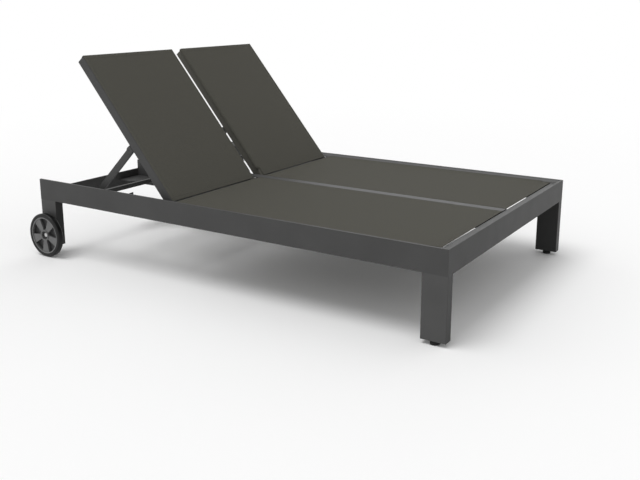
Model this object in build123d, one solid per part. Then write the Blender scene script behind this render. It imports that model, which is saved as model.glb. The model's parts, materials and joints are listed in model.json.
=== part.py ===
from build123d import *
import math
import os

# Double chaise lounger: one low aluminium frame on two front legs and two wheels,
# with a fixed sling seat and a separate reclining sling backrest on each side.
# X runs from the head end to the foot end, Y across, Z up. The origin lies on the
# ground, under the middle of the overall length and width.

# Frame, in mm
frame_length = 2000.0
frame_width = 1252.0
rail_top = 345.0
rail_height = 93.5
rail_width = 40.0
foot_rail_width = 44.5
rail_wall = 2.5
lip_width = 10.0
lip_foot_width = 22.0
lip_height = 12.5
edge_radius = 1.5

# Legs and feet
leg_length = 95.0
leg_wall = 2.5
rear_leg_clearance = 46.5
plug_height = 30.0
glide_radius = 17.5
glide_disc_height = 13.0
glide_neck_height = 3.0
glide_rounding = 3.0
glide_stem_radius = 5.0
glide_stem_length = 34.0
glide_stem_fit = 0.05

# Wheels and axles
wheel_radius = 99.5
wheel_width = 27.0
wheel_setback = 60.0
wheel_gap = 20.0
tyre_thickness = 16.5
tyre_rounding = 7.0
tyre_seat_fit = 0.1
rim_width = 4.5
rim_inset = 1.5
spoke_count = 5
spoke_inset = 2.5
web_thickness = 4.0
web_inset = 1.5
spoke_root_half = 9.0
spoke_tip_half = 21.5
spoke_root_radius = 20.0
boss_radius = 25.0
boss_recess_radius = 19.0
boss_recess_depth = 12.0
boss_inner_gap = 0.4
axle_radius = 7.0
axle_fit = 0.05
axle_head_radius = 9.5
axle_head_height = 5.0
axle_end_play = 0.4
nut_radius = 10.0
nut_height = 9.0
washer_radius = 12.0
washer_height = 1.5
axle_tail = 3.0

# Centre beam and head rail
beam_width = 44.0
beam_wall = 2.5
beam_rise = 3.0
lower_beam_height = 40.0
lower_beam_tail = 30.0
head_rail_thickness = 6.0
head_rail_height = 84.0
head_rail_drop = 53.5
cleat_width = 128.0
cleat_rack_gap = 5.5
cleat_thickness = 4.0
cleat_corner = 30.0

# Seat
seat_hinge_gap = 30.0
seat_foot_gap = 2.5
seat_bar_size = 25.0
seat_bar_wall = 2.0
seat_mid_bar_share = 0.5
seat_low_bar_drop = 34.0
seat_inner_rail_width = 14.0
sling_thickness = 1.5
sling_edge_gap = 0.6
sling_wrap = 1.2
corner_notch_length = 46.0

# Backrests
back_length = 747.5
back_depth = 46.0
back_tube_width = 28.0
back_wall = 2.0
back_outer_gap = 7.0
back_inner_gap = 11.0
back_rest_angle = 50.0
back_low_angle = 1.0
back_rounding = 8.0
back_cross_tube_width = 28.0
back_bottom_inset = 3.0
back_hem_gap = 2.5
hinge_inset = 756.4
hinge_depth = 12.0
hinge_eye_radius = 11.0
hinge_pin_radius = 5.0
hinge_pin_fit = 0.05
hinge_pin_reach = 24.0
hinge_plate_gap = 2.0
hinge_plate_half = 11.5
back_rise_angle = 22.0

# Props and ratchet racks
prop_head_gap = 145.5
prop_reach_share = 0.493
prop_pivot_depth = 62.0
prop_rest_angle = 44.5
prop_arm_width = 28.5
prop_arm_thickness = 12.0
prop_arm_inset = 10.0
prop_bar_size = 20.0
prop_bar_rounding = 4.0
prop_bar_end_gap = 1.5
prop_ratio = 1.906
prop_pin_radius = 4.0
prop_pin_fit = 0.05
lug_thickness = 7.0
lug_gap = 1.0
rack_thickness = 6.0
rack_clearance = 0.7
rack_tail = 34.0
rack_foot_gap = 1.5
rack_notch_count = 6
rack_notch_depth = 5.0
rack_notch_radius = 11.0
rack_horn_gap = 10.0
rack_horn_lean = 5.0
rack_horn_length = 38.0
rack_horn_front_drop = 14.0
rack_horn_back_drop = 1.5

# Small screws
screw_head_radius = 5.5
screw_head_height = 2.4
screw_count = 4
cut_overrun = 1.0

# Places worked out from the sizes above
half_width = frame_width / 2
wheel_overhang = wheel_radius - wheel_setback
overall_length = frame_length + wheel_overhang
foot_end = overall_length / 2
head_end = foot_end - frame_length
rail_bottom = rail_top - rail_height
ledge_top = rail_top - lip_height
rail_inner = half_width - rail_width
lip_foot = half_width - lip_foot_width
glide_height = glide_disc_height + glide_neck_height

beam_half = beam_width / 2
beam_top = ledge_top + beam_rise
back_underside = ledge_top - back_depth
head_rail_top = rail_top - head_rail_drop

back_outer = rail_inner - back_outer_gap
back_inner = beam_half + back_inner_gap
hinge_x = head_end + hinge_inset
hinge_z = ledge_top - hinge_depth
prop_reach = (hinge_inset - prop_head_gap) * prop_reach_share
prop_length = hinge_inset - prop_head_gap - prop_reach
seat_head = hinge_x + seat_hinge_gap
seat_foot = foot_end - foot_rail_width - seat_foot_gap
seat_inner = beam_half + seat_inner_rail_width
hinge_point = (hinge_x, 0, hinge_z)
hinge_axis = Axis(hinge_point, (0, 1, 0))

axle_x = head_end + wheel_setback
axle_z = wheel_radius
wheel_inner_face = half_width + wheel_gap
wheel_outer_face = wheel_inner_face + wheel_width


def block(x0, x1, y0, y1, z0, z1):
    """A box between two opposite corners."""
    size = (x1 - x0, y1 - y0, z1 - z0)
    return Pos(x0, y0, z0) * Box(*size, align=(Align.MIN, Align.MIN, Align.MIN))


def rounded_block(x0, x1, y0, y1, z0, z1, axis, radius):
    """A box whose long edges, along the given axis, are rounded."""
    body = block(x0, x1, y0, y1, z0, z1)
    return fillet(body.edges().filter_by(axis), radius)


def rod_y(x, z, y0, y1, radius):
    """A round bar across the lounger, from y0 to y1."""
    rod = Cylinder(radius, y1 - y0, align=(Align.CENTER, Align.CENTER, Align.MIN))
    return Pos(x, y0, z) * Rot(X=-90) * rod


def rod_z(x, y, z0, z1, radius):
    """A round bar standing from z0 to z1."""
    return Pos(x, y, z0) * Cylinder(radius, z1 - z0, align=(Align.CENTER, Align.CENTER, Align.MIN))


def plate_y(points, y0, y1):
    """A flat plate with the outline given in X and Z, from y0 to y1."""
    plane = Plane(origin=(0, y1, 0), x_dir=(1, 0, 0), z_dir=(0, -1, 0))
    return extrude(plane * Polygon(*points, align=None), y1 - y0, dir=(0, -1, 0))


def rail_section(width):
    """The hollow rail section: a tube with a raised lip, sloped inside, along its outer edge."""
    step = rail_height - lip_height
    outline = Polygon(
        (0, 0),
        (width, 0),
        (width, step),
        (lip_foot_width, step),
        (lip_width, rail_height),
        (0, rail_height),
        align=None,
    )
    inner_corner = outline.vertices().sort_by_distance((lip_foot_width, step, 0))[0]
    outer_corners = [v for v in outline.vertices() if v != inner_corner]
    outline = fillet(outer_corners, edge_radius)
    cavity_size = (width - 2 * rail_wall, step - 2 * rail_wall)
    cavity = Pos(rail_wall, rail_wall) * Rectangle(*cavity_size, align=(Align.MIN, Align.MIN))
    return outline - cavity


def corner_plane():
    """The plane of the mitred joint at the foot end."""
    return Plane(origin=(foot_end, half_width, 0), z_dir=(1, -1, 0))


def side_rail():
    """A side rail, mitred at the foot end and closed at the head end."""
    plane = Plane(origin=(foot_end, half_width, rail_bottom), x_dir=(0, -1, 0), z_dir=(-1, 0, 0))
    rail = extrude(plane * rail_section(rail_width), frame_length)
    end_wall = block(
        head_end,
        head_end + rail_wall,
        rail_inner + edge_radius,
        half_width - edge_radius,
        rail_bottom + edge_radius,
        ledge_top - edge_radius,
    )
    rail = split(rail + end_wall, bisect_by=corner_plane(), keep=Keep.BOTTOM)
    return rail - hinge_pin_hole_outer()


def hinge_pin_hole_outer():
    """The hole in the side rail's inner wall behind the hinge plate."""
    low = rail_inner - cut_overrun
    high = rail_inner + rail_wall + cut_overrun
    return rod_y(hinge_x, hinge_z, low, high, hinge_pin_radius + hinge_pin_fit)


def foot_rail():
    """The rail across the foot end, mitred at both ends."""
    plane = Plane(origin=(foot_end, -half_width, rail_bottom), x_dir=(-1, 0, 0), z_dir=(0, 1, 0))
    rail = extrude(plane * rail_section(foot_rail_width), frame_width)
    rail = split(rail, bisect_by=corner_plane(), keep=Keep.TOP)
    other = Plane(origin=(foot_end, -half_width, 0), z_dir=(1, 1, 0))
    return split(rail, bisect_by=other, keep=Keep.TOP)


def head_rail():
    """The upright flat bar across the head end, between the rear legs."""
    return rounded_block(
        head_end,
        head_end + head_rail_thickness,
        -rail_inner,
        rail_inner,
        head_rail_top - head_rail_height,
        head_rail_top,
        Axis.Y,
        edge_radius,
    )


def centre_beam():
    """The hollow beam between the seats, from the head rail to the foot rail."""
    x0 = head_end + head_rail_thickness
    x1 = foot_end - foot_rail_width
    beam = rounded_block(x0, x1, -beam_half, beam_half, rail_bottom, beam_top, Axis.X, edge_radius)
    half = beam_half - beam_wall
    return beam - block(x0 + beam_wall, x1, -half, half, rail_bottom + beam_wall, beam_top - beam_wall)


def lower_beam():
    """The tube under the centre beam, from the head rail to below the hinges."""
    x0 = head_end + head_rail_thickness
    x1 = hinge_x + lower_beam_tail
    z0 = rail_bottom - lower_beam_height
    tube = rounded_block(x0, x1, -beam_half, beam_half, z0, rail_bottom, Axis.X, edge_radius)
    half = beam_half - beam_wall
    return tube - block(
        x0 - cut_overrun, x1 - beam_wall, -half, half, z0 + beam_wall, rail_bottom - beam_wall
    )


def leg(x0, z0):
    """A hollow leg under the side rail, open at the bottom."""
    x1 = x0 + leg_length
    post = rounded_block(x0, x1, rail_inner, half_width, z0, rail_bottom, Axis.Z, edge_radius)
    return post - block(
        x0 + leg_wall,
        x1 - leg_wall,
        rail_inner + leg_wall,
        half_width - leg_wall,
        z0 - cut_overrun,
        rail_bottom - leg_wall,
    )


def front_leg():
    """A front leg, which stands on its levelling glide."""
    return leg(foot_end - leg_length, glide_height)


def rear_leg():
    """A rear leg, which ends above the ground and carries the axle."""
    post = leg(head_end, rear_leg_clearance)
    hole = rod_y(
        axle_x, axle_z, rail_inner - cut_overrun, half_width + cut_overrun, axle_radius + axle_fit
    )
    return post - hole


def leg_middle(x0):
    """The middle of a leg seen from above."""
    return x0 + leg_length / 2, half_width - rail_width / 2


def leg_plug(x0, z0):
    """The hollow plastic plug that closes the bottom of a leg."""
    gap = leg_wall + tyre_seat_fit
    plug = block(
        x0 + gap,
        x0 + leg_length - gap,
        rail_inner + gap,
        half_width - gap,
        z0,
        z0 + plug_height,
    )
    x, y = leg_middle(x0)
    rim = leg_wall + gap
    hollow = block(
        x0 + rim,
        x - glide_radius / 2,
        rail_inner + rim,
        half_width - rim,
        z0 + leg_wall,
        z0 + plug_height + cut_overrun,
    )
    other_hollow = mirror(hollow, about=Plane(origin=(x, y, 0), z_dir=(1, 0, 0)))
    return plug - hollow - other_hollow


def front_leg_plug():
    """A front leg's plug, with the bore that the glide's stem screws into."""
    x, y = leg_middle(foot_end - leg_length)
    low = glide_height - cut_overrun
    high = glide_height + plug_height + cut_overrun
    bore = rod_z(x, y, low, high, glide_stem_radius + glide_stem_fit)
    return leg_plug(foot_end - leg_length, glide_height) - bore


def rear_leg_plug():
    """A rear leg's plug."""
    return leg_plug(head_end, rear_leg_clearance)


def glide():
    """A levelling glide: a round foot on a threaded stem."""
    x, y = leg_middle(foot_end - leg_length)
    foot = rod_z(x, y, 0, glide_disc_height, glide_radius)
    foot = fillet(foot.edges().filter_by(GeomType.CIRCLE), glide_rounding)
    low = glide_disc_height - glide_rounding
    stem = rod_z(x, y, low, glide_disc_height + glide_stem_length, glide_stem_radius)
    return foot + stem


def wheel_face(radius, y0, y1):
    """A disc of the wheel on the axle's line."""
    return rod_y(axle_x, axle_z, y0, y1, radius)


def tyre():
    """The solid tyre, rounded at both shoulders."""
    ring = wheel_face(wheel_radius, wheel_inner_face, wheel_outer_face)
    ring = fillet(ring.edges().filter_by(GeomType.CIRCLE), tyre_rounding)
    inner = wheel_radius - tyre_thickness
    return ring - wheel_face(inner, wheel_inner_face - cut_overrun, wheel_outer_face + cut_overrun)


def spoke(index):
    """One wedge-shaped spoke on the outer side of the wheel's web."""
    tip_radius = wheel_radius - tyre_thickness - rim_width
    outline = [
        (axle_x - spoke_root_half, axle_z - spoke_root_radius),
        (axle_x - spoke_tip_half, axle_z - tip_radius),
        (axle_x + spoke_tip_half, axle_z - tip_radius),
        (axle_x + spoke_root_half, axle_z - spoke_root_radius),
    ]
    face = wheel_outer_face - rim_inset - spoke_inset
    wedge = plate_y(outline, web_inner_face(), face)
    return wedge.rotate(Axis((axle_x, 0, axle_z), (0, 1, 0)), index * 360 / spoke_count)


def web_inner_face():
    """The inner side of the hub's web, close to the inner side of the wheel."""
    return wheel_inner_face + rim_inset + web_inset


def wheel_hub():
    """The moulded hub: rim, web, five wedge spokes and a bored boss."""
    rim_radius = wheel_radius - tyre_thickness - tyre_seat_fit
    inner_face = wheel_inner_face + rim_inset
    outer_face = wheel_outer_face - rim_inset
    rim = wheel_face(rim_radius, inner_face, outer_face)
    rim -= wheel_face(rim_radius - rim_width, inner_face - cut_overrun, outer_face + cut_overrun)
    web_face = web_inner_face()
    web = wheel_face(rim_radius - rim_width / 2, web_face, web_face + web_thickness)
    boss = wheel_face(boss_radius, boss_inner_face(), outer_face)
    hub = rim + web + boss
    inside_rim = wheel_face(rim_radius - rim_width / 2, inner_face, outer_face)
    for index in range(spoke_count):
        hub += spoke(index) & inside_rim
    hub -= wheel_face(boss_recess_radius, outer_face - boss_recess_depth, outer_face + cut_overrun)
    return hub - wheel_face(axle_radius + axle_fit, boss_inner_face() - cut_overrun, outer_face)


def spacer_end():
    """The outer end of the spacer between leg and wheel."""
    return boss_inner_face() - boss_inner_gap - washer_height


def boss_inner_face():
    """The inner end of the hub's boss."""
    return wheel_inner_face - wheel_gap / 2


def recess_floor():
    """The floor of the boss's recess, under the bolt's head."""
    return wheel_outer_face - rim_inset - boss_recess_depth


def axle_bolt():
    """The axle bolt, its head in the boss's recess and its thread through the leg."""
    seat = recess_floor() + axle_end_play
    shank = wheel_face(axle_radius, rail_inner - nut_height - washer_height - axle_tail, seat)
    head = wheel_face(axle_head_radius, seat, seat + axle_head_height)
    head = fillet(head.edges().filter_by(GeomType.CIRCLE).sort_by(Axis.Y)[-1], axle_head_height / 2)
    return shank + head


def ring_y(y0, y1, radius):
    """A ring on the axle's line, with a clear hole for the axle."""
    ring = wheel_face(radius, y0, y1)
    return ring - wheel_face(axle_radius + axle_fit, y0 - cut_overrun, y1 + cut_overrun)


def axle_spacer():
    """The tube that keeps the wheel off the leg."""
    return ring_y(half_width, spacer_end(), washer_radius)


def axle_washers():
    """The washers beside the wheel and under the nut."""
    outer = ring_y(spacer_end(), spacer_end() + washer_height, washer_radius)
    inner = ring_y(rail_inner - washer_height, rail_inner, washer_radius)
    return [outer, inner]


def axle_nut():
    """The six-sided nut on the inner end of the axle."""
    high = rail_inner - washer_height
    plane = Plane(origin=(axle_x, high, axle_z), x_dir=(1, 0, 0), z_dir=(0, -1, 0))
    prism = extrude(plane * RegularPolygon(nut_radius, 6), nut_height)
    return prism - wheel_face(axle_radius + axle_fit, high - nut_height - cut_overrun, high + cut_overrun)


def seat_bar(x0, top, inner):
    """A tube across one seat, from the side rail to the middle."""
    bar = rounded_block(
        x0, x0 + seat_bar_size, inner, rail_inner, top - seat_bar_size, top, Axis.Y, edge_radius
    )
    return bar - block(
        x0 + seat_bar_wall,
        x0 + seat_bar_size - seat_bar_wall,
        inner - cut_overrun,
        rail_inner + cut_overrun,
        top - seat_bar_size + seat_bar_wall,
        top - seat_bar_wall,
    )


def seat_head_bar():
    """The bar at the seat's head end."""
    return seat_bar(seat_head + sling_wrap, ledge_top, seat_inner)


def seat_foot_bar():
    """The lower bar under the seat's foot end."""
    x0 = seat_foot - seat_bar_size
    return seat_bar(x0, ledge_top - seat_low_bar_drop, beam_half)


def seat_mid_bar():
    """The lower bar that steadies the frame under the middle of the seat."""
    middle = seat_head + (seat_foot - seat_head) * seat_mid_bar_share
    top = ledge_top - seat_low_bar_drop
    return seat_bar(middle - seat_bar_size / 2, top, beam_half)


def seat_inner_rail():
    """The narrow rail beside the centre strip that holds the sling's inner edge."""
    return block(
        seat_head + sling_wrap,
        seat_foot - sling_wrap,
        beam_half,
        seat_inner,
        ledge_top - seat_bar_size,
        ledge_top,
    )


def seat_sling():
    """One seat's stretched fabric, notched round the corner over the leg."""
    outer = lip_foot - sling_edge_gap
    sheet = block(
        seat_head, seat_foot, beam_half + sling_edge_gap, outer, ledge_top, ledge_top + sling_thickness
    )
    notch = block(
        seat_foot + seat_foot_gap - corner_notch_length,
        seat_foot + cut_overrun,
        rail_inner,
        outer + cut_overrun,
        ledge_top - cut_overrun,
        rail_top,
    )
    return sheet - notch


def reclined(piece):
    """Turn a backrest piece from flat to its angle at rest."""
    return piece.rotate(hinge_axis, back_rest_angle)


def back_side_tube(y0):
    """A backrest side tube lying flat, with its hinge eye."""
    x0 = hinge_x - back_length
    tube = rounded_block(
        x0, hinge_x, y0, y0 + back_tube_width, back_underside, ledge_top, Axis.X, back_rounding
    )
    cavity = rounded_block(
        x0 + back_wall,
        hinge_x + cut_overrun,
        y0 + back_wall,
        y0 + back_tube_width - back_wall,
        back_underside + back_wall,
        ledge_top - back_wall,
        Axis.X,
        back_rounding - back_wall,
    )
    eye = rod_y(hinge_x, hinge_z, y0, y0 + back_tube_width, hinge_eye_radius)
    hole = rod_y(
        hinge_x,
        hinge_z,
        y0 - cut_overrun,
        y0 + back_tube_width + cut_overrun,
        hinge_pin_radius + hinge_pin_fit,
    )
    return reclined(tube - cavity + eye - hole)


def back_cross_tube(x0):
    """A backrest cross tube between the two side tubes, lying flat."""
    tube = rounded_block(
        x0,
        x0 + back_cross_tube_width,
        back_inner + back_tube_width,
        back_outer - back_tube_width,
        back_underside,
        ledge_top,
        Axis.Y,
        back_rounding,
    )
    cavity = rounded_block(
        x0 + back_wall,
        x0 + back_cross_tube_width - back_wall,
        back_inner,
        back_outer,
        back_underside + back_wall,
        ledge_top - back_wall,
        Axis.Y,
        back_rounding - back_wall,
    )
    return reclined(tube - cavity)


def back_top_tube():
    """The cross tube at the head of the backrest."""
    return back_cross_tube(hinge_x - back_length)


def back_bottom_tube():
    """The cross tube beside the hinge."""
    return back_cross_tube(hinge_x - back_bottom_inset - back_cross_tube_width)


def back_sling():
    """The backrest's stretched fabric, on the flat front of its tubes."""
    sheet = block(
        hinge_x - back_length + back_rounding,
        hinge_x - back_hem_gap,
        back_inner + back_rounding,
        back_outer - back_rounding,
        ledge_top,
        ledge_top + sling_thickness,
    )
    return reclined(sheet)


def prop_pivot(rise):
    """The prop's pivot in X and Z, with the backrest turned by rise from rest."""
    angle = math.radians(back_rest_angle + rise)
    drop = prop_pivot_depth - hinge_depth
    x = hinge_x - prop_reach * math.cos(angle) - drop * math.sin(angle)
    return x, hinge_z + prop_reach * math.sin(angle) - drop * math.cos(angle)


def prop_foot(rise):
    """Where the prop's bar lies, in X and Z, with the backrest turned by rise from rest."""
    x, z = prop_pivot(rise)
    angle = math.radians(prop_rest_angle + rise * (prop_ratio - 1))
    return x - prop_length * math.cos(angle), z - prop_length * math.sin(angle)


def low_foot():
    """Where the prop's bar lies with the backrest at its lowest."""
    return prop_foot(back_low_angle - back_rest_angle)


def prop_lug(y0):
    """A lug under a backrest side tube, which holds the prop's pin."""
    x, z = prop_pivot(-back_rest_angle)
    radius = prop_arm_width / 2
    plate = block(x - radius, x + radius, y0, y0 + lug_thickness, z, back_underside)
    plate += rod_y(x, z, y0, y0 + lug_thickness, radius)
    hole = rod_y(x, z, y0 - cut_overrun, y0 + lug_thickness + cut_overrun, prop_pin_radius + prop_pin_fit)
    return reclined(plate - hole)


def outer_arm_start():
    """The inner face of the prop's outer arm."""
    return back_outer - prop_arm_inset - prop_arm_thickness


def inner_arm_start():
    """The inner face of the prop's inner arm."""
    return back_inner + prop_arm_inset


def prop_lugs():
    """The two lugs of one backrest, each on the outer side of its arm."""
    outer = prop_lug(outer_arm_start() + prop_arm_thickness + lug_gap)
    inner = prop_lug(inner_arm_start() - lug_gap - lug_thickness)
    return [outer, inner]


def prop_bar():
    """The bar that joins the prop's two arms and rests on the racks."""
    x, z = prop_foot(0)
    half = prop_bar_size / 2
    return rounded_block(
        x - half,
        x + half,
        beam_half + prop_bar_end_gap,
        rail_inner - prop_bar_end_gap,
        z - half,
        z + half,
        Axis.Y,
        prop_bar_rounding,
    )


def prop_arm(y0):
    """One flat arm of the prop, from its pivot down to the bar."""
    top_x, top_z = prop_pivot(0)
    foot_x, foot_z = prop_foot(0)
    angle = math.radians(prop_rest_angle)
    half = prop_arm_width / 2
    side_x = half * math.sin(angle)
    side_z = half * math.cos(angle)
    outline = [
        (top_x - side_x, top_z + side_z),
        (foot_x - side_x, foot_z + side_z),
        (foot_x + side_x, foot_z - side_z),
        (top_x + side_x, top_z - side_z),
    ]
    arm = plate_y(outline, y0, y0 + prop_arm_thickness)
    arm += rod_y(top_x, top_z, y0, y0 + prop_arm_thickness, half)
    arm -= prop_bar()
    arm -= rod_y(
        top_x,
        top_z,
        y0 - cut_overrun,
        y0 + prop_arm_thickness + cut_overrun,
        prop_pin_radius + prop_pin_fit,
    )
    return arm.solids().sort_by(SortBy.VOLUME)[-1]


def prop_pins():
    """The pins that the prop turns on."""
    x, z = prop_pivot(0)
    outer_start = outer_arm_start()
    outer_end = outer_start + prop_arm_thickness + lug_gap + lug_thickness
    outer = rod_y(x, z, outer_start, outer_end, prop_pin_radius)
    inner_end = inner_arm_start() + prop_arm_thickness
    inner_start = inner_arm_start() - lug_gap - lug_thickness
    inner = rod_y(x, z, inner_start, inner_end, prop_pin_radius)
    return [outer, inner]


def rack_edge(x):
    """The height of a rack's toothed edge at x, before its notches are cut."""
    corner_reach = prop_bar_rounding + math.sqrt(2) * (prop_bar_size / 2 - prop_bar_rounding)
    low = low_foot()
    middle = prop_foot(0)
    high = prop_foot(back_rise_angle)
    start, end = (low, middle) if x < middle[0] else (middle, high)
    share = (x - start[0]) / (end[0] - start[0])
    return start[1] + share * (end[1] - start[1]) - corner_reach - rack_clearance


def rack_tail_x():
    """The head end of the racks."""
    return low_foot()[0] - rack_tail


def rack_outline():
    """A rack's outline: a toothed edge that rises to a stop at its foot end."""
    tail_x = rack_tail_x()
    middle_x = prop_foot(0)[0]
    horn_x = prop_foot(back_rise_angle)[0] + prop_bar_size / 2 + rack_horn_gap
    base = rail_bottom + rack_foot_gap
    return [
        (tail_x, base),
        (tail_x, rack_edge(tail_x)),
        (middle_x, rack_edge(middle_x)),
        (horn_x, rack_edge(horn_x)),
        (horn_x + rack_horn_lean, rail_top - rack_horn_front_drop),
        (horn_x + rack_horn_length, rail_top - rack_horn_back_drop),
        (horn_x + rack_horn_length, base),
    ]


def rack(y0, y1):
    """A ratchet rack: a plate with shallow notches and a stop at its foot end."""
    plate = plate_y(rack_outline(), y0, y1)
    low_x = low_foot()[0]
    high_x = prop_foot(back_rise_angle)[0]
    pitch = (high_x - low_x) / rack_notch_count
    for index in range(rack_notch_count + 1):
        x = low_x + index * pitch
        centre = rack_edge(x) - rack_notch_depth + rack_notch_radius
        plate -= rod_y(x, centre, y0 - cut_overrun, y1 + cut_overrun, rack_notch_radius)
    return plate


def outer_rack():
    """The rack on the side rail's inner face."""
    return rack(rail_inner - rack_thickness, rail_inner)


def inner_rack():
    """The rack on the side of the centre beam."""
    return rack(beam_half, beam_half + rack_thickness)


def hinge_plate(y0, y1):
    """A plate on the frame that holds one hinge pin."""
    plate = block(
        hinge_x - hinge_plate_half,
        hinge_x + hinge_plate_half,
        y0,
        y1,
        hinge_z - hinge_plate_half,
        hinge_z + hinge_plate_half,
    )
    plate = fillet(plate.edges().filter_by(Axis.Y), hinge_plate_half / 2)
    hole_radius = hinge_pin_radius + hinge_pin_fit
    return plate - rod_y(hinge_x, hinge_z, y0 - cut_overrun, y1 + cut_overrun, hole_radius)


def hinge_plates():
    """The two hinge plates of one backrest."""
    outer = hinge_plate(back_outer + hinge_plate_gap, rail_inner)
    inner = hinge_plate(beam_half, back_inner - hinge_plate_gap)
    return [outer, inner]


def hinge_pins():
    """The two hinge pins of one backrest."""
    outer_start = back_outer - hinge_pin_reach
    outer = rod_y(hinge_x, hinge_z, outer_start, rail_inner + rail_wall, hinge_pin_radius)
    inner = rod_y(hinge_x, hinge_z, beam_half, back_inner + hinge_pin_reach, hinge_pin_radius)
    return [outer, inner]


def rack_screws():
    """Button-head screws that hold one seat's outer and inner racks."""
    low_x = low_foot()[0]
    high_x = prop_foot(back_rise_angle)[0]
    z = rail_bottom + rack_foot_gap + screw_head_radius + rack_foot_gap
    pitch = (high_x - low_x) / screw_count
    screws = []
    for index in range(screw_count):
        x = low_x + pitch * (index + 1)
        outer_face = rail_inner - rack_thickness
        inner_face = beam_half + rack_thickness
        screws.append(rod_y(x, z, outer_face - screw_head_height, outer_face, screw_head_radius))
        screws.append(rod_y(x, z, inner_face, inner_face + screw_head_height, screw_head_radius))
    return screws


def beam_cleat():
    """The level corner plate that ties the centre beam to the head rail."""
    x0 = head_end + head_rail_thickness
    x1 = rack_tail_x() - cleat_rack_gap
    y1 = beam_half + cleat_width
    plate = block(x0, x1, beam_half, y1, rail_bottom, rail_bottom + cleat_thickness)
    corner = plate.edges().filter_by(Axis.Z).sort_by_distance((x1, y1, rail_bottom))[0]
    return chamfer(corner, cleat_corner)


def mirrored(piece):
    """The same piece on the right-hand side."""
    return mirror(piece, about=Plane.XZ)


def solids_of(pieces):
    """Every solid in a list of pieces."""
    found = []
    for piece in pieces:
        found.extend(piece.solids())
    return found


def write(name, pieces):
    """Write one sub-part's file."""
    solids = solids_of(pieces)
    shape = solids[0] if len(solids) == 1 else Compound(children=solids)
    shape.label = name
    export_step(shape, "parts/" + name + ".step")


def write_pair(name, pieces):
    """Write a left piece and its mirrored right piece as two sub-parts."""
    write(name + "_left", pieces)
    write(name + "_right", [mirrored(piece) for piece in pieces])


def write_both(name, pieces):
    """Write small pieces of both sides as one sub-part."""
    write(name, pieces + [mirrored(piece) for piece in pieces])


def main():
    os.makedirs("parts", exist_ok=True)

    write_pair("side_rail", [side_rail()])
    write("foot_rail", [foot_rail()])
    write("head_rail", [head_rail()])
    write("centre_beam", [centre_beam()])
    write("lower_beam", [lower_beam()])
    write_pair("front_leg", [front_leg()])
    write_pair("rear_leg", [rear_leg()])
    write_both("leg_plugs", [front_leg_plug(), rear_leg_plug()])
    write_pair("glide", [glide()])

    write_pair("seat_head_bar", [seat_head_bar()])
    write_pair("seat_mid_bar", [seat_mid_bar()])
    write_pair("seat_foot_bar", [seat_foot_bar()])
    write_pair("seat_inner_rail", [seat_inner_rail()])
    write_pair("seat_sling", [seat_sling()])

    write_both("hinge_plates", hinge_plates())
    write_both("hinge_pins", hinge_pins())
    write_pair("outer_rack", [outer_rack()])
    write_pair("inner_rack", [inner_rack()])
    write_both("rack_screws", rack_screws())
    write_both("beam_cleats", [beam_cleat()])

    write_pair("back_outer_tube", [back_side_tube(back_outer - back_tube_width)])
    write_pair("back_inner_tube", [back_side_tube(back_inner)])
    write_pair("back_top_tube", [back_top_tube()])
    write_pair("back_bottom_tube", [back_bottom_tube()])
    write_pair("back_sling", [back_sling()])
    write_pair("prop_lugs", prop_lugs())

    write_pair("prop_outer_arm", [prop_arm(outer_arm_start())])
    write_pair("prop_inner_arm", [prop_arm(inner_arm_start())])
    write_pair("prop_bar", [prop_bar()])
    write_pair("prop_pins", prop_pins())

    write_pair("wheel_hub", [wheel_hub()])
    write_pair("wheel_tyre", [tyre()])
    write_both("axle_bolts", [axle_bolt()])
    write_both("axle_spacers", [axle_spacer()])
    write_both("axle_washers", axle_washers())
    write_both("axle_nuts", [axle_nut()])

    print("hinge", [round(v, 3) for v in hinge_point])
    print("prop pivot", [round(v, 3) for v in prop_pivot(0)])
    print("prop foot at rest", [round(v, 3) for v in prop_foot(0)])
    print("axle", round(axle_x, 3), round(axle_z, 3), "head", head_end, "foot", foot_end)


main()
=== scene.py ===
import json
import math

import bmesh
import bpy
from mathutils import Matrix, Vector

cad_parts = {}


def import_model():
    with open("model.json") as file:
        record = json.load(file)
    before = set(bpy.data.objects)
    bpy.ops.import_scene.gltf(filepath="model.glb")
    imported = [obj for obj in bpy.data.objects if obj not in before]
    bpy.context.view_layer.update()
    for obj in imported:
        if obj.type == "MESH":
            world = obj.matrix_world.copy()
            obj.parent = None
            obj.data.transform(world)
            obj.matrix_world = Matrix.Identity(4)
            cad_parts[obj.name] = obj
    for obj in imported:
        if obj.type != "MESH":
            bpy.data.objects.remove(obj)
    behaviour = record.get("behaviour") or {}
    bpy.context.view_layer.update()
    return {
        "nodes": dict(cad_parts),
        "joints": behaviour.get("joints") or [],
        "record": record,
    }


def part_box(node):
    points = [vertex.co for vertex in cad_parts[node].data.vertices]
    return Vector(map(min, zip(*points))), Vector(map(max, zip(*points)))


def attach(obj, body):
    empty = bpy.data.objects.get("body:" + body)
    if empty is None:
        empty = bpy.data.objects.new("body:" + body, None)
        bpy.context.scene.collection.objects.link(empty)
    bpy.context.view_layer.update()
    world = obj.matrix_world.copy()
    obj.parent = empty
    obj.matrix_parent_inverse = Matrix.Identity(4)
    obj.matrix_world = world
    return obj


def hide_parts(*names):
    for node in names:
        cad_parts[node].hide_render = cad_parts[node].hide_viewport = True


# Double chaise lounger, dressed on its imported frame. All sizes are in metres.

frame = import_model()

MM = 0.001

# Places that come from the frame
def joint_place(name):
    """Where a joint's axis passes."""
    for joint in frame["joints"]:
        if joint["name"] == name:
            return Vector(joint["pos_m"])
    raise ValueError(name)


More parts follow.
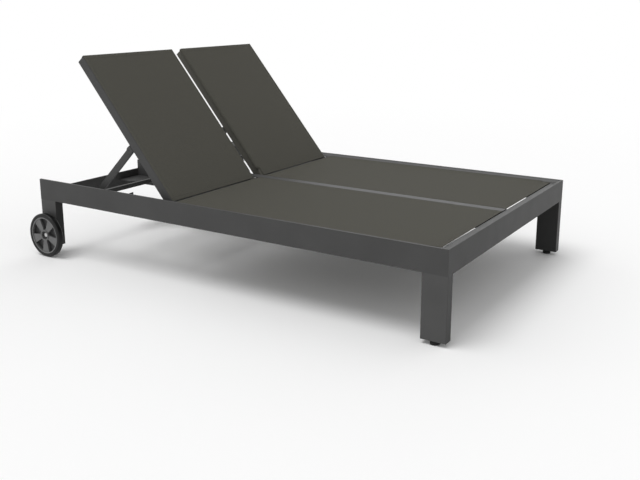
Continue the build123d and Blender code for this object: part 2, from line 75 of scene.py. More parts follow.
HINGE = joint_place("backrest_left_recline")
AXLE = joint_place("wheel_left_spin")
BACK_REST_DEGREES = 50
BACK_ANGLE = math.radians(BACK_REST_DEGREES)
SIDES = {"left": 1, "right": -1}
RAIL_LOW, RAIL_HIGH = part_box("side_rail_left")
BACK_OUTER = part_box("back_outer_tube_left")[1].y
BACK_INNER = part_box("back_inner_tube_left")[0].y
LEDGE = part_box("seat_sling_left")[0].z
EDGE_RADIUS = 1.5 * MM
LIP_WIDTH = 10 * MM
WHEEL_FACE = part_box("wheel_hub_left")[1].y
SPOKE_DEPTH = 4 * MM
WEB_DEPTH = 15 * MM
SPOKE_FACE = WHEEL_FACE - SPOKE_DEPTH
WEB_FACE = WHEEL_FACE - WEB_DEPTH
RIM_WIDTH = 4 * MM
RIM_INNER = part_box("wheel_hub_left")[1].z - AXLE.z - RIM_WIDTH

# Slings
SLING_THICKNESS = 1.4 * MM
SLING_STEP = 12 * MM
SEAT_SAG = 3.0 * MM
BACK_SAG = 3.0 * MM
SEAT_WRAP_RADIUS = 2.0 * MM
SEAT_WRAP_DROP = 12 * MM
SEAT_HEM_REACH = 1.5 * MM
HEM_DROP = 0.4 * MM
HEM_WIDTH = 22 * MM
HEM_RISE = 0.5 * MM
HEM_SLOPE = 1.5 * MM
STITCH_INSET = 16 * MM
STITCH_WIDTH = 1.1 * MM
STITCH_PITCH = 4.5 * MM
STITCH_SHARE = 0.68
SEAT_NOTCH_LENGTH = 43.5 * MM
BACK_LENGTH = 747.5 * MM
BACK_HEM_GAP = 3.0 * MM
BACK_TOP_RADIUS = 3.0 * MM
BACK_TOP_DROP = 12 * MM
BACK_WRAP_RADIUS = 9.4 * MM
BACK_WRAP_DROP = 3.0 * MM
BACK_INNER_REACH = 2.0 * MM
BACK_INNER_DROP = 11 * MM
BACK_NOTCH_LENGTH = 40 * MM
WRAP_STEPS = 5
BELLY_POWER = 0.7


# Node helpers
NOISE_DETAIL = 3
# Where a colour mix node keeps its factor, its two colours and its result
MIX_INPUTS = (0, 6, 7)
MIX_RESULT = 2


class Shader:
    """A material's node tree, built step by step."""

    def __init__(self, name):
        self.material = bpy.data.materials.new(name)
        self.material.use_nodes = True
        self.tree = self.material.node_tree
        self.bsdf = self.tree.nodes["Principled BSDF"]

    @classmethod
    def reopen(cls, material):
        """Go on with a material's tree."""
        shader = cls.__new__(cls)
        shader.material = material
        shader.tree = material.node_tree
        shader.bsdf = shader.tree.nodes["Principled BSDF"]
        return shader

    def node(self, kind, **values):
        """A new node with its properties and input values set."""
        new = self.tree.nodes.new(kind)
        for key, value in values.items():
            if hasattr(new, key):
                setattr(new, key, value)
            else:
                new.inputs[key.replace("_", " ")].default_value = value
        return new

    def link(self, source, target):
        """Join an output to an input."""
        self.tree.links.new(source, target)

    def place(self):
        """The point's place in the object."""
        return self.node("ShaderNodeTexCoord").outputs["Object"]

    def flat_place(self):
        """The point's place on the unrolled cloth, in metres."""
        return self.node("ShaderNodeTexCoord").outputs["UV"]

    def math(self, operation, first, second=None, third=None):
        """One arithmetic step on sockets or numbers."""
        step = self.node("ShaderNodeMath", operation=operation)
        for index, value in enumerate((first, second, third)):
            if value is None:
                continue
            if isinstance(value, bpy.types.NodeSocket):
                self.link(value, step.inputs[index])
            else:
                step.inputs[index].default_value = value
        return step.outputs[0]

    def noise(self, place, size, detail=NOISE_DETAIL):
        """Noise with features of about this size in metres."""
        noise = self.node("ShaderNodeTexNoise", Scale=1 / size, Detail=detail)
        self.link(place, noise.inputs["Vector"])
        return noise.outputs["Fac"]

    def ramp(self, value, stops):
        """A colour ramp with (position, colour) stops."""
        ramp = self.node("ShaderNodeValToRGB")
        while len(ramp.color_ramp.elements) < len(stops):
            ramp.color_ramp.elements.new(0.5)
        for element, (position, colour) in zip(ramp.color_ramp.elements, stops):
            element.position = position
            element.color = (*colour, 1)
        self.link(value, ramp.inputs["Fac"])
        return ramp.outputs["Color"]

    def blend(self, kind, share, first, second):
        """Two colours mixed; each is a socket or a colour."""
        mix = self.node("ShaderNodeMix", data_type="RGBA", blend_type=kind)
        for index, value in zip(MIX_INPUTS, (share, first, second)):
            if isinstance(value, bpy.types.NodeSocket):
                self.link(value, mix.inputs[index])
            else:
                mix.inputs[index].default_value = value
        return mix.outputs[MIX_RESULT]

    def bump(self, height, distance):
        """A bump whose full height is this distance."""
        bump = self.node("ShaderNodeBump", Distance=distance)
        self.link(height, bump.inputs["Height"])
        return bump.outputs["Normal"]

    def map_range(self, value, low, high):
        """Rescale 0 to 1 to low to high."""
        step = self.node("ShaderNodeMapRange")
        step.inputs["To Min"].default_value = low
        step.inputs["To Max"].default_value = high
        self.link(value, step.inputs["Value"])
        return step.outputs["Result"]

    def set(self, **values):
        """Values or links on the main shader."""
        for key, value in values.items():
            socket = self.bsdf.inputs[key.replace("_", " ")]
            if isinstance(value, bpy.types.NodeSocket):
                self.link(value, socket)
            else:
                socket.default_value = value


def shade(colour, factor):
    """A colour made lighter or darker."""
    return tuple(channel * factor for channel in colour)


# Materials. Two tones of a colour meet between these places of a noise.
DARK_STOP = 0.3
LIGHT_STOP = 0.7
GRAIN_DETAIL = 2

# Powder coat, and the painted light and shade that change its tone with place and facing
COAT_COLOUR = (0.062, 0.062, 0.0615)
COAT_ROUGHNESS = 0.48
COAT_SMOOTHER = 0.04
COAT_ROUGHER = 0.05
COAT_GLOSS = 0.13
COAT_DARK_SHARE = 0.94
COAT_LIGHT_SHARE = 1.06
COAT_CLOUD_SIZE = 120 * MM
COAT_CLOUD_DETAIL = 4
COAT_PATCH_SIZE = 50 * MM
COAT_GRAIN_SIZE = 1.1 * MM
COAT_GRAIN_DEPTH = 0.06 * MM
# Painted highlight: a lighter tone on the sloped inside of the rails' lip
LIP_FOOT_SHARE = -0.67
LIP_HIGHLIGHT_SHARE = 2.2
LIP_PATCH_SIZE = 50 * MM
LIP_LEAST_SHARE = 0.8
LIP_MOST_SHARE = 1.1
# Painted light and shade by facing: end faces darker, side faces lighter, faces towards the frame's
# middle darkest
END_SHADE_SHARE = 0.81
SIDE_LIGHT_SHARE = 1.2
INNER_SHADE_SHARE = 0.52
FACING_LIMIT = 0.7

# Sling fabric
FABRIC_COLOUR = (0.0835, 0.081, 0.069)
THREAD_COLOUR = (0.045, 0.044, 0.038)
WEAVE_PITCH = 1.6 * MM
WEAVE_LIFT_SHARE = 0.3
WEAVE_DEPTH = 0.3 * MM
# Painted shade down into the weave's hollows and holes, and a painted highlight on the yarn crowns
WEAVE_SHADE_TONES = ((0.15, 0.35), (0.75, 1.0), (1.0, 1.15))
STITCH_LIFT_SHARE = 1.6
YARN_SIZE = 12 * MM
YARN_DETAIL = 5
YARN_TONES = ((0.35, 0.95), (0.65, 1.0))
FABRIC_SMOOTH = 0.72
FABRIC_ROUGH = 0.85
FABRIC_GLOSS = 0.04

# Plastic, rubber and steel
PLASTIC_ROUGHNESS = 0.45
PLASTIC_SMOOTHER = 0.05
PLASTIC_ROUGHER = 0.06
PLASTIC_GLOSS = 0.5
PLASTIC_DARK_SHARE = 0.92
PLASTIC_LIGHT_SHARE = 1.08
PLASTIC_CLOUD_SIZE = 30 * MM
PLASTIC_PATCH_SIZE = 20 * MM
PLASTIC_GRAIN_SIZE = 0.9 * MM
PLASTIC_GRAIN_DEPTH = 0.05 * MM
BLACK_COLOUR = (0.008, 0.008, 0.008)
BLACK_GLOSS = 0.2
HUB_COLOUR = (0.105, 0.105, 0.105)
HUB_ROUGHNESS = 0.4
# Painted shade on the wheel's web behind the spokes, and a painted highlight on its rim
WEB_SHADE_SHARE = 0.5
RIM_HIGHLIGHT_SHARE = 1.8
TYRE_COLOUR = (0.006, 0.006, 0.006)
TYRE_ROUGHNESS = 0.32
TYRE_GRAIN_SIZE = 2.0 * MM
TYRE_GLOSS = 0.25
STEEL_CLOUD_SIZE = 8 * MM
STEEL_PATCH_SIZE = 4 * MM
STEEL_PATCH_DETAIL = 6
STEEL_GRAIN_SIZE = 0.6 * MM
STEEL_GRAIN_DETAIL = 4
STEEL_GRAIN_DEPTH = 0.02 * MM
STEEL_SMOOTH = 0.22
STEEL_ROUGH = 0.4
ZINC_TONES = ((0.5, 0.5, 0.5), (0.66, 0.66, 0.65))
BLACKENED_TONES = ((0.045, 0.045, 0.045), (0.06, 0.06, 0.06))


def two_tones(s, value, dark, light):
    """A colour that goes from dark to light with a noise."""
    return s.ramp(value, [(DARK_STOP, dark), (LIGHT_STOP, light)])


def powder_coat(name, colour=COAT_COLOUR):
    """Matt powder coat with a fine orange-peel grain."""
    s = Shader(name)
    place = s.place()
    cloud = s.noise(place, COAT_CLOUD_SIZE, COAT_CLOUD_DETAIL)
    dark = shade(colour, COAT_DARK_SHARE)
    s.set(Base_Color=two_tones(s, cloud, dark, shade(colour, COAT_LIGHT_SHARE)))
    grain = s.noise(place, COAT_GRAIN_SIZE, GRAIN_DETAIL)
    patches = s.noise(place, COAT_PATCH_SIZE)
    low = COAT_ROUGHNESS - COAT_SMOOTHER
    s.set(Roughness=s.map_range(patches, low, COAT_ROUGHNESS + COAT_ROUGHER))
    s.set(Normal=s.bump(grain, COAT_GRAIN_DEPTH))
    s.bsdf.inputs["Specular IOR Level"].default_value = COAT_GLOSS
    return s.material


def lip_highlight_coat(name):
    """Powder coat with a painted highlight: a lighter tone on the sloped inside of the rail's lip."""
    s = Shader.reopen(powder_coat(name))
    split = s.node("ShaderNodeSeparateXYZ")
    s.link(s.place(), split.inputs[0])
    height = s.node("ShaderNodeMapRange")
    height.inputs["From Min"].default_value = LEDGE
    height.inputs["From Max"].default_value = RAIL_HIGH.z
    height.inputs["To Min"].default_value = LIP_FOOT_SHARE
    s.link(split.outputs["Z"], height.inputs["Value"])
    away = s.math("MULTIPLY", height.outputs["Result"], height.outputs["Result"])
    above = s.math("GREATER_THAN", split.outputs["Z"], LEDGE)
    inside = s.math("LESS_THAN", s.math("ABSOLUTE", split.outputs["Y"]), RAIL_HIGH.y - LIP_WIDTH)
    # Share of the painted highlight: on the lip's inside, above the ledge, fading out at the rail's top
    lip_highlight_mask = s.math("MULTIPLY", s.math("SUBTRACT", 1, away), s.math("MULTIPLY", above, inside))
    patches = s.noise(s.place(), LIP_PATCH_SIZE)
    lip_highlight_mask = s.math("MULTIPLY", lip_highlight_mask, s.map_range(patches, LIP_LEAST_SHARE, LIP_MOST_SHARE))
    coat = s.bsdf.inputs["Base Color"].links[0].from_socket
    s.set(Base_Color=s.blend("MIX", lip_highlight_mask, coat, (*shade(COAT_COLOUR, LIP_HIGHLIGHT_SHARE), 1)))
    return s.material


def facing_shade_coat(name):
    """Powder coat with painted light and shade: its tone follows the way a face looks.

    Side faces are painted lighter, end faces darker, and faces towards the frame's middle darkest, as
    painted light and shade.
    """
    s = Shader.reopen(powder_coat(name))
    normal = s.node("ShaderNodeTexCoord").outputs["Normal"]
    split = s.node("ShaderNodeSeparateXYZ")
    s.link(normal, split.inputs[0])
    end = s.math("GREATER_THAN", s.math("ABSOLUTE", split.outputs["X"]), FACING_LIMIT)
    flank = s.math("GREATER_THAN", s.math("ABSOLUTE", split.outputs["Y"]), FACING_LIMIT)
    tone = s.math("MULTIPLY_ADD", end, END_SHADE_SHARE - 1, 1.0)
    tone = s.math("MULTIPLY_ADD", flank, SIDE_LIGHT_SHARE - 1, tone)
    outward = s.node("ShaderNodeVectorMath", operation="DOT_PRODUCT")
    s.link(normal, outward.inputs[0])
    s.link(s.place(), outward.inputs[1])
    # Painted shade, darkest, on faces that look towards the frame's middle
    inward = s.math("LESS_THAN", outward.outputs["Value"], 0)
    tone = s.math("ADD", tone, s.math("MULTIPLY", inward, s.math("SUBTRACT", INNER_SHADE_SHARE, tone)))
    coat = s.bsdf.inputs["Base Color"].links[0].from_socket
    s.set(Base_Color=s.blend("MULTIPLY", 1.0, coat, tone))
    return s.material


def stitch_mask(s, split, lines):
    """1 on the threads of the hems' seams; a line is (axis it is measured on, place)."""
    mask = None
    for axis, place in lines:
        other = "Y" if axis == "X" else "X"
        away = s.math("ABSOLUTE", s.math("SUBTRACT", split.outputs[axis], place))
        on_line = s.math("LESS_THAN", away, STITCH_WIDTH / 2)
        along = s.math("FRACT", s.math("DIVIDE", split.outputs[other], STITCH_PITCH))
        thread = s.math("MULTIPLY", on_line, s.math("LESS_THAN", along, STITCH_SHARE))
        mask = thread if mask is None else s.math("MAXIMUM", mask, thread)
    return mask


def sling_fabric(name, lines):
    """Coated yarns in a plain weave, with painted shade in the holes and hollows between them, a painted
    highlight on the yarn crowns, and stitched hems.
    """
    s = Shader(name)
    flat = s.flat_place()
    split = s.node("ShaderNodeSeparateXYZ")
    s.link(flat, split.inputs[0])
    turn = math.pi / WEAVE_PITCH
    along = s.math("MULTIPLY", split.outputs["X"], turn)
    across = s.math("MULTIPLY", split.outputs["Y"], turn)
    over = s.math("MULTIPLY", s.math("SINE", along), s.math("SINE", across))
    warp = s.math("ABSOLUTE", s.math("COSINE", across))
    weft = s.math("ABSOLUTE", s.math("COSINE", along))
    warp_up = s.math("MULTIPLY", warp, s.math("MULTIPLY_ADD", over, WEAVE_LIFT_SHARE, 1.0))
    weft_up = s.math("MULTIPLY", weft, s.math("MULTIPLY_ADD", over, -WEAVE_LIFT_SHARE, 1.0))
    height = s.math("MAXIMUM", warp_up, weft_up)
    stitches = stitch_mask(s, split, lines)
    yarn = s.noise(flat, YARN_SIZE, YARN_DETAIL)
    # Painted shade in the weave's hollows and holes, painted highlight on the yarn crowns
    light = s.ramp(height, [(stop, shade(FABRIC_COLOUR, tone)) for stop, tone in WEAVE_SHADE_TONES])
    paler = s.ramp(yarn, [(stop, (tone, tone, tone)) for stop, tone in YARN_TONES])
    tint = s.blend("MULTIPLY", 1.0, light, paler)
    s.set(Base_Color=s.blend("MIX", stitches, tint, (*THREAD_COLOUR, 1)))
    s.set(Roughness=s.map_range(yarn, FABRIC_SMOOTH, FABRIC_ROUGH))
    raised = s.math("MAXIMUM", height, s.math("MULTIPLY", stitches, STITCH_LIFT_SHARE))
    s.set(Normal=s.bump(raised, WEAVE_DEPTH))
    s.bsdf.inputs["Specular IOR Level"].default_value = FABRIC_GLOSS
    return s.material


def moulded_plastic(
    name, colour, rough=PLASTIC_ROUGHNESS, grain=PLASTIC_GRAIN_SIZE, gloss=PLASTIC_GLOSS
):
    """Moulded plastic with a fine spark grain."""
    s = Shader(name)
    place = s.place()
    cloud = s.noise(place, PLASTIC_CLOUD_SIZE)
    dark = shade(colour, PLASTIC_DARK_SHARE)
    s.set(Base_Color=two_tones(s, cloud, dark, shade(colour, PLASTIC_LIGHT_SHARE)))
    patches = s.noise(place, PLASTIC_PATCH_SIZE)
    s.set(Roughness=s.map_range(patches, rough - PLASTIC_SMOOTHER, rough + PLASTIC_ROUGHER))
    s.set(Normal=s.bump(s.noise(place, grain, GRAIN_DETAIL), PLASTIC_GRAIN_DEPTH))
    s.bsdf.inputs["Specular IOR Level"].default_value = gloss
    return s.material


def wheel_plastic_painted_light(name, colour):
    """Moulded plastic in grey, with painted shade behind the spokes and a painted highlight on the rim.
    """
    material = moulded_plastic(name, colour, rough=HUB_ROUGHNESS)
    s = Shader.reopen(material)
    split = s.node("ShaderNodeSeparateXYZ")
    s.link(s.place(), split.inputs[0])
    depth = s.node("ShaderNodeMapRange")
    depth.inputs["From Min"].default_value = WEB_FACE
    depth.inputs["From Max"].default_value = SPOKE_FACE
    s.link(s.math("ABSOLUTE", split.outputs["Y"]), depth.inputs["Value"])
    along = s.math("SUBTRACT", split.outputs["X"], AXLE.x)
    above = s.math("SUBTRACT", split.outputs["Z"], AXLE.z)
    away = s.math("SQRT", s.math("MULTIPLY_ADD", along, along, s.math("MULTIPLY", above, above)))
    rim = s.math("GREATER_THAN", away, RIM_INNER)
    grey = s.bsdf.inputs["Base Color"].links[0].from_socket
    # Painted shade deepening into the pockets towards the web, and a painted highlight on the rim
    web = (*shade(colour, WEB_SHADE_SHARE), 1)
    spokes = s.blend("MIX", depth.outputs["Result"], web, grey)
    s.set(Base_Color=s.blend("MIX", rim, spokes, (*shade(colour, RIM_HIGHLIGHT_SHARE), 1)))
    return material


def plated_steel(name, dark, light):
    """Plated steel with faint brushing, between two shades."""
    s = Shader(name)
    place = s.place()
    s.set(Metallic=1.0)
    s.set(Base_Color=two_tones(s, s.noise(place, STEEL_CLOUD_SIZE), dark, light))
    patches = s.noise(place, STEEL_PATCH_SIZE, STEEL_PATCH_DETAIL)
    s.set(Roughness=s.map_range(patches, STEEL_SMOOTH, STEEL_ROUGH))
    grain = s.noise(place, STEEL_GRAIN_SIZE, STEEL_GRAIN_DETAIL)
    s.set(Normal=s.bump(grain, STEEL_GRAIN_DEPTH))
    return s.material


COAT = powder_coat("grey_powder_coat")
RAIL_HIGHLIGHT_COAT = lip_highlight_coat("lip_highlight_powder_coat")
FACING_SHADE_COAT = facing_shade_coat("facing_shade_powder_coat")
# The backrests' inner tubes take the slings' lighter colour, as painted light on their faces shaded in
# the gap between the backrests
TUBE_PAINTED_LIGHT_COAT = powder_coat("inner_tube_painted_light_coat", FABRIC_COLOUR)
SEAT_LOW, SEAT_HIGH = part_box("seat_sling_left")
SEAT_STITCHES = [("X", SEAT_HIGH.x - STITCH_INSET), ("X", SEAT_LOW.x + STITCH_INSET)]
BACK_STITCHES = [
    ("X", HINGE.x - BACK_LENGTH + STITCH_INSET),
    ("X", HINGE.x - BACK_HEM_GAP - STITCH_INSET),
    ("Y", BACK_INNER + STITCH_INSET),
    ("Y", BACK_OUTER - STITCH_INSET),
]
SEAT_FABRIC = sling_fabric("woven_seat_sling", SEAT_STITCHES)
BACK_FABRIC = sling_fabric("woven_back_sling", BACK_STITCHES)
BLACK = moulded_plastic("black_plastic", BLACK_COLOUR, gloss=BLACK_GLOSS)
HUB_GREY = wheel_plastic_painted_light("grey_plastic", HUB_COLOUR)
TYRE = moulded_plastic(
    "tyre_rubber", TYRE_COLOUR, rough=TYRE_ROUGHNESS, grain=TYRE_GRAIN_SIZE, gloss=TYRE_GLOSS
)
ZINC = plated_steel("zinc_steel", *ZINC_TONES)
BLACKENED = plated_steel("blackened_steel", *BLACKENED_TONES)

# Nodes that look different from the rest of their slot, by the start of their names
# Nodes that carry painted light and shade: the rails' lip highlight, the legs' and foot rail's shade by
# facing, and the inner tubes' lighter coat
NODE_MATERIALS = {
    "prop_pins": BLACKENED,
    "side_rail": RAIL_HIGHLIGHT_COAT,
    "front_leg": FACING_SHADE_COAT,
    "rear_leg": FACING_SHADE_COAT,
    "foot_rail": FACING_SHADE_COAT,
    "back_inner_tube": TUBE_PAINTED_LIGHT_COAT,
}
SLOT_MATERIALS = {
    "frame_metal": COAT,
    "sling_fabric": SEAT_FABRIC,
    "black_plastic": BLACK,
    "grey_plastic": HUB_GREY,
    "tyre_rubber": TYRE,
    "steel": ZINC,
}


def dress_cad_nodes():
    """Give every CAD node the material of its slot, or its own."""
    for entry in frame["record"]["subparts"]:
        node = frame["nodes"][entry["node"]]
        node.data.materials.clear()
        material = SLOT_MATERIALS[entry["material_slot"]]
        for start, own in NODE_MATERIALS.items():
            if entry["node"].startswith(start):
                material = own
        node.data.materials.append(material)


# Mesh helpers
def new_object(name, mesh, material):
    """Link a mesh as a piece with one material."""
    piece = bpy.data.objects.new(name, mesh)
    bpy.context.scene.collection.objects.link(piece)
    mesh.materials.append(material)
    return piece


def steps_between(low, high, step):
    """Even steps from low to high, each at most this long."""
    count = max(1, math.ceil((high - low) / step))
    return [low + (high - low) * index / count for index in range(count + 1)]


class Bend:
    """How a sheet's two opposite edges bend down: by how much, and how tightly."""

    def __init__(self, low, high, radius, low_drop, high_drop):
        self.low = low
        self.high = high
        self.radius = radius
        self.low_drop = low_drop
        self.high_drop = high_drop

    def curve(self, drop):
        """Flat distances past the start of the bend, down to this drop."""
        turn = math.acos(max(0.0, 1 - drop / self.radius))
        curve = [self.radius * turn * step / WRAP_STEPS for step in range(1, WRAP_STEPS + 1)]
        if drop > self.radius:
            curve.append(curve[-1] + drop - self.radius)
        return curve

    def steps(self, step):
        """Flat places across the sheet, close together in the bends."""
        inner_low = self.low + self.radius
        inner_high = self.high - self.radius
        before = [inner_low - past for past in reversed(self.curve(self.low_drop))]
        after = [inner_high + past for past in self.curve(self.high_drop)]
        return before + steps_between(inner_low, inner_high, step) + after

    def place(self, flat):
        """Where a flat place comes to lie: its place along, and its drop."""
        inner_low = self.low + self.radius
        inner_high = self.high - self.radius
        if inner_low <= flat <= inner_high:
            return flat, 0.0
        past = inner_low - flat if flat < inner_low else flat - inner_high
        quarter = self.radius * math.pi / 2
        turn = min(past, quarter) / self.radius
        along = self.radius * math.sin(turn)
        drop = self.radius * (1 - math.cos(turn)) + max(0.0, past - quarter)
        return (inner_low - along if flat < inner_low else inner_high + along), drop


def sheet_mesh(name, alongs, acrosses, place, skip=None):
    """A cloth grid; place gives each flat point's position, and UVs keep the flat metres."""
    mesh = bpy.data.meshes.new(name)
    verts = [place(u, v) for u in alongs for v in acrosses]
    faces = []
    columns = len(acrosses)
    for i in range(len(alongs) - 1):
        for j in range(columns - 1):
            middle_u = (alongs[i] + alongs[i + 1]) / 2
            middle_v = (acrosses[j] + acrosses[j + 1]) / 2
            if skip and skip(middle_u, middle_v):
                continue
            a = i * columns + j
            faces.append((a, a + columns, a + columns + 1, a + 1))
    mesh.from_pydata(verts, [], faces)
    flat = [(u, v) for u in alongs for v in acrosses]
    layer = mesh.uv_layers.new(name="flat")
    for loop in mesh.loops:
        layer.data[loop.index].uv = flat[loop.vertex_index]
    mesh.shade_smooth()
    return mesh


def clean(mesh):
    """Drop the points that no face uses."""
    work = bmesh.new()
    work.from_mesh(mesh)
    loose = [v for v in work.verts if not v.link_faces]
    bmesh.ops.delete(work, geom=loose, context="VERTS")
    work.to_mesh(mesh)
    work.free()


def thicken(piece, thickness):
    """Give a sheet its thickness, below its surface."""
    solid = piece.modifiers.new("thickness", "SOLIDIFY")
    solid.thickness = thickness
    solid.offset = -1
    return piece


def belly(share):
    """How far a stretched sheet sags at this share of its span."""
    return math.sin(math.pi * min(max(share, 0.0), 1.0)) ** BELLY_POWER


def seat_sling(side, sign):
    """One seat's sling, stretched between the side rail and the inner rail.

    It wraps down over the head bar, its foot hem is free, and its outer foot corner is notched
    over the leg.
    """
    low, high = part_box("seat_sling_" + side)
    high.x += SEAT_HEM_REACH
    inner = min(abs(low.y), abs(high.y))
    outer = max(abs(low.y), abs(high.y))
    top = LEDGE + SLING_THICKNESS
    bend = Bend(low.x, high.x, SEAT_WRAP_RADIUS, SEAT_WRAP_DROP, HEM_DROP)
    notch_x = high.x - SEAT_NOTCH_LENGTH
    hem_x = high.x - HEM_WIDTH
    alongs = sorted(bend.steps(SLING_STEP) + [notch_x, hem_x, hem_x + HEM_SLOPE])
    acrosses = sorted(steps_between(inner, outer, SLING_STEP) + [RAIL_LOW.y])

    def place(u, v):
        x, drop = bend.place(u)
        share_x = (x - low.x) / (high.x - low.x)
        share_y = (v - inner) / (RAIL_LOW.y - inner)
        sag = SEAT_SAG * belly(share_x) * belly(share_y)
        hem = HEM_RISE if u > hem_x else 0.0
        return (x, sign * v, top - drop - sag + hem)

    def skip(u, v):
        return u > notch_x and v > RAIL_LOW.y

    mesh = sheet_mesh("seat_cloth_" + side, alongs, acrosses, place, skip)
    clean(mesh)
    if sign > 0:
        mesh.flip_normals()
    piece = new_object("seat_cloth_" + side, mesh, SEAT_FABRIC)
    thicken(piece, SLING_THICKNESS)
    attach(piece, "frame")
    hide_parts("seat_sling_" + side)
    return piece


def reclined(point):
    """Turn a point of the flat backrest to the rest angle."""
    turn = Matrix.Rotation(BACK_ANGLE, 4, "Y")
    pivot = Vector((HINGE.x, 0, HINGE.z))
    return pivot + turn @ (Vector(point) - pivot)


def back_sling(side, sign):
    """One backrest's sling, over the front of its tubes.

    It wraps furthest down over the top and inner tubes, and is notched beside the hinge.
    """
    low_x = HINGE.x - BACK_LENGTH
    high_x = HINGE.x - BACK_HEM_GAP
    along = Bend(low_x - SLING_THICKNESS, high_x, BACK_TOP_RADIUS, BACK_TOP_DROP, HEM_DROP)
    across = Bend(
        BACK_INNER - SLING_THICKNESS - BACK_INNER_REACH,
        BACK_OUTER + SLING_THICKNESS,
        BACK_WRAP_RADIUS,
        BACK_INNER_DROP,
        BACK_WRAP_DROP,
    )
    top = LEDGE + SLING_THICKNESS
    notch_x = high_x - BACK_NOTCH_LENGTH
    notch_y = across.low + across.radius
    alongs = sorted(along.steps(SLING_STEP) + [notch_x])
    acrosses = across.steps(SLING_STEP)

    def place(u, v):
        x, drop_x = along.place(u)
        y, drop_y = across.place(v)
        share_x = (x - low_x) / (high_x - low_x)
        share_y = (y - BACK_INNER) / (BACK_OUTER - BACK_INNER)
        sag = BACK_SAG * belly(share_x) * belly(share_y)
        return reclined((x, sign * y, top - max(drop_x, drop_y) - sag))

    def skip(u, v):
        return u > notch_x and v < notch_y

    mesh = sheet_mesh("back_cloth_" + side, alongs, acrosses, place, skip)
    clean(mesh)
    if sign > 0:
        mesh.flip_normals()
    piece = new_object("back_cloth_" + side, mesh, BACK_FABRIC)
    thicken(piece, SLING_THICKNESS)
    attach(piece, "backrest_" + side)
    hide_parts("back_sling_" + side)
    return piece


# Welds, ground flush, where the legs meet the rails
WELD_BELOW = 0.3 * MM
WELD_PROUD = 0.04 * MM
WELD_DEPTH = 2.2 * MM
CORNER_STEPS = 4


def rounded_loop(low, high, radius):
    """A rectangle's outline with rounded corners."""
    points = []
    centres = [(high.x, high.y), (low.x, high.y), (low.x, low.y), (high.x, low.y)]
    signs = [(-1, -1), (1, -1), (1, 1), (-1, 1)]
    for quarter, ((x, y), (side_x, side_y)) in enumerate(zip(centres, signs)):
        middle = (x + side_x * radius, y + side_y * radius)
        for step in range(CORNER_STEPS + 1):
            turn = math.pi / 2 * (quarter + step / CORNER_STEPS)
            points.append((middle[0] + radius * math.cos(turn), middle[1] + radius * math.sin(turn)))
    return points


def leg_weld(leg):
    """A ground weld band that fills the groove between a leg's top and its rail."""
    low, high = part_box(leg)
    grow = Vector((WELD_PROUD, WELD_PROUD, 0))
    shrink = Vector((WELD_DEPTH, WELD_DEPTH, 0))
    outer = rounded_loop(low - grow, high + grow, EDGE_RADIUS)
    inner = rounded_loop(low + shrink, high - shrink, EDGE_RADIUS)
    bottom = high.z - WELD_BELOW
    top = high.z + EDGE_RADIUS
    loops = [(outer, bottom), (outer, top), (inner, top), (inner, bottom)]
    count = len(outer)
    verts = [(x, y, z) for loop, z in loops for x, y in loop]
    faces = []
    for ring in range(len(loops)):
        after = (ring + 1) % len(loops)
        for index in range(count):
            ahead = (index + 1) % count
            faces.append(
                (ring * count + index, ring * count + ahead, after * count + ahead, after * count + index)
            )
    mesh = bpy.data.meshes.new(leg + "_weld")
    mesh.from_pydata(verts, [], faces)
    piece = new_object(leg + "_weld", mesh, COAT)
    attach(piece, "frame")
    return piece


# Stage
FLOOR_HALF = 60.0
FLOOR_COLOUR = (0.97, 0.97, 0.97, 1)
FLOOR_ROUGHNESS = 0.9
FADE_START = 2.2
FADE_END = 6.0
DOME_STRENGTH = 0.66
HORIZON_EXTRA = 0.45
# A level surface gets one part in three of the light that the horizon adds.
HORIZON_PARTS = 3
SUN_DEGREES = 35
SUN_ANGLE = math.radians(SUN_DEGREES)
SUN_LEAN_X = 0.22
SUN_LEAN_Y = 0.34
RIM_TOWARDS = Vector((-0.31, 0.91, 0.26))
RIM_DEGREES = 30
RIM_ANGLE = math.radians(RIM_DEGREES)
RIM_SHARE = 0.06


def seen_directly(tree):
    """1 for camera, glossy and transmission rays, 0 for the rays that carry soft light."""
    path = tree.nodes.new("ShaderNodeLightPath")
    first = tree.nodes.new("ShaderNodeMath")
    first.operation = "MAXIMUM"
    tree.links.new(path.outputs["Is Camera Ray"], first.inputs[0])
    tree.links.new(path.outputs["Is Glossy Ray"], first.inputs[1])
    second = tree.nodes.new("ShaderNodeMath")
    second.operation = "MAXIMUM"
    tree.links.new(first.outputs[0], second.inputs[0])
    tree.links.new(path.outputs["Is Transmission Ray"], second.inputs[1])
    return second.outputs[0]


def floor():
    """A pale floor that turns into the white backdrop with distance."""
    mesh = bpy.data.meshes.new("floor")
    half = FLOOR_HALF
    corners = [(-half, -half, 0), (half, -half, 0), (half, half, 0), (-half, half, 0)]
    mesh.from_pydata(corners, [], [(0, 1, 2, 3)])
    s = Shader("pale_floor")
    s.set(Base_Color=FLOOR_COLOUR, Roughness=FLOOR_ROUGHNESS)
    s.bsdf.inputs["Specular IOR Level"].default_value = 0.0
    distance = s.node("ShaderNodeVectorMath", operation="LENGTH")
    s.link(s.place(), distance.inputs[0])
    fade = s.node("ShaderNodeMapRange", interpolation_type="SMOOTHSTEP")
    fade.inputs["From Min"].default_value = FADE_START
    fade.inputs["From Max"].default_value = FADE_END
    s.link(distance.outputs["Value"], fade.inputs["Value"])
    share = s.math("MULTIPLY", fade.outputs["Result"], seen_directly(s.tree))
    white = s.node("ShaderNodeEmission", Color=(1, 1, 1, 1), Strength=1.0)
    mix = s.node("ShaderNodeMixShader")
    s.link(share, mix.inputs[0])
    s.link(s.bsdf.outputs[0], mix.inputs[1])
    s.link(white.outputs[0], mix.inputs[2])
    s.link(mix.outputs[0], s.tree.nodes["Material Output"].inputs["Surface"])
    piece = new_object("floor", mesh, s.material)
    return piece


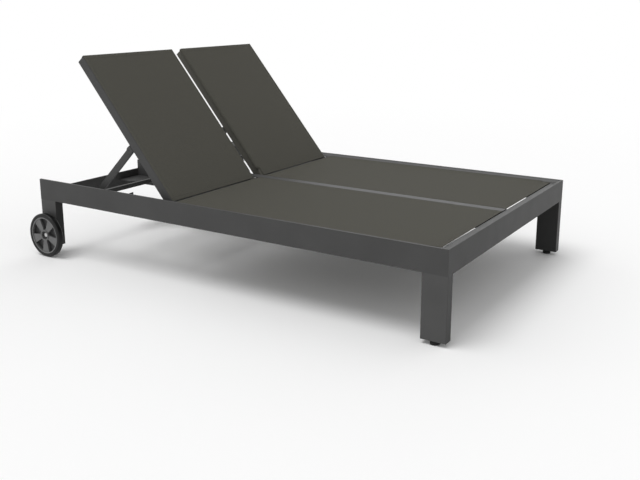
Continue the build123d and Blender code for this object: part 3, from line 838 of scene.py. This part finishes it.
def world():
    """White studio light, a little stronger near the horizon, and a white backdrop."""
    bpy.context.scene.world = bpy.data.worlds.new("studio")
    bpy.context.scene.world.use_nodes = True
    tree = bpy.context.scene.world.node_tree
    background = tree.nodes["Background"]
    background.inputs["Color"].default_value = (1, 1, 1, 1)
    direction = tree.nodes.new("ShaderNodeTexCoord")
    split = tree.nodes.new("ShaderNodeSeparateXYZ")
    tree.links.new(direction.outputs["Generated"], split.inputs[0])
    soft = tree.nodes.new("ShaderNodeMapRange")
    overhead = DOME_STRENGTH - HORIZON_EXTRA / HORIZON_PARTS
    soft.inputs["To Min"].default_value = overhead + HORIZON_EXTRA
    soft.inputs["To Max"].default_value = overhead
    tree.links.new(split.outputs["Z"], soft.inputs["Value"])
    strength = tree.nodes.new("ShaderNodeMapRange")
    strength.inputs["To Max"].default_value = 1.0
    tree.links.new(soft.outputs["Result"], strength.inputs["To Min"])
    tree.links.new(seen_directly(tree), strength.inputs["Value"])
    tree.links.new(strength.outputs["Result"], background.inputs["Strength"])


def sun(name, towards, angle, irradiance):
    """A soft lamp far away, which lights a surface that faces it as much as this share of the dome."""
    data = bpy.data.lights.new(name, "SUN")
    data.angle = angle
    data.energy = math.pi * irradiance
    lamp = bpy.data.objects.new(name, data)
    lamp.rotation_euler = towards.to_track_quat("Z", "Y").to_euler()
    bpy.context.scene.collection.objects.link(lamp)


def lamps():
    """A large soft lamp overhead, and a weak one low behind that brings out the top edges."""
    overhead = Vector((-SUN_LEAN_X, -SUN_LEAN_Y, 1))
    sun("overhead_lamp", overhead, SUN_ANGLE, (1 - DOME_STRENGTH) * overhead.length)
    sun("rim_lamp", RIM_TOWARDS, RIM_ANGLE, RIM_SHARE)


CAMERA_PLACE = (2.02617, -2.97394, 1.12946)
CAMERA_YAW_DEGREES = 32.61
CAMERA_PITCH_DEGREES = 13.19
CAMERA_YAW = math.radians(CAMERA_YAW_DEGREES)
CAMERA_PITCH = math.radians(CAMERA_PITCH_DEGREES)
CAMERA_SENSOR = 36
CAMERA_LENS = 45.834
PHOTO_WIDTH = 640
PHOTO_SHIFT = -48.5
CAMERA_SHIFT = PHOTO_SHIFT / PHOTO_WIDTH


def camera():
    """The photograph's viewpoint."""
    data = bpy.data.cameras.new("camera")
    data.sensor_width = CAMERA_SENSOR
    data.lens = CAMERA_LENS
    data.shift_y = CAMERA_SHIFT
    eye = bpy.data.objects.new("camera", data)
    eye.location = CAMERA_PLACE
    eye.rotation_euler = (math.pi / 2 - CAMERA_PITCH, 0, CAMERA_YAW)
    bpy.context.scene.collection.objects.link(eye)
    bpy.context.scene.camera = eye


bpy.context.scene.view_settings.view_transform = "Standard"
dress_cad_nodes()
for side, sign in SIDES.items():
    seat_sling(side, sign)
    back_sling(side, sign)
    leg_weld("front_leg_" + side)
    leg_weld("rear_leg_" + side)
floor()
world()
lamps()
camera()
